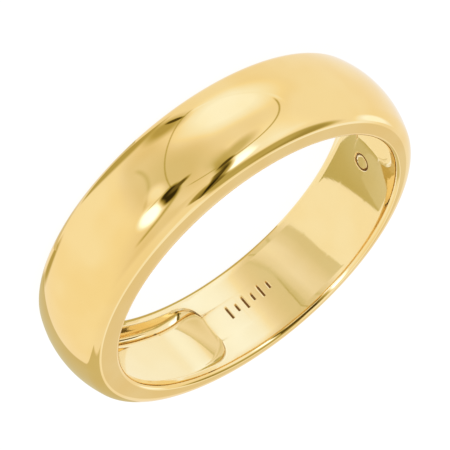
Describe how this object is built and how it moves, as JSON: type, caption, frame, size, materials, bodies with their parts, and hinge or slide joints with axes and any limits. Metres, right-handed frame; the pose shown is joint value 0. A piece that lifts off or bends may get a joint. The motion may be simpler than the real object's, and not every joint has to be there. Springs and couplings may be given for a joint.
{
  "type": "wedding band",
  "caption": "Plain polished gold dome wedding band with flat sides, rounded bore edges and a shallow hollow inside the head to save weight.",
  "frame": {"origin": "centre of the finger bore, half way across the band's width", "axes": "+Z along the finger bore, -Y towards the head, which is the thickest stretch of the band, +X to the right"},
  "size_m": [0.023, 0.023, 0.0054],
  "materials": {
    "yellow_gold": "mirror polish outside, satin bore"
  },
  "bodies": {
    "root": {"band": "yellow_gold"}
  },
  "joints": []
}
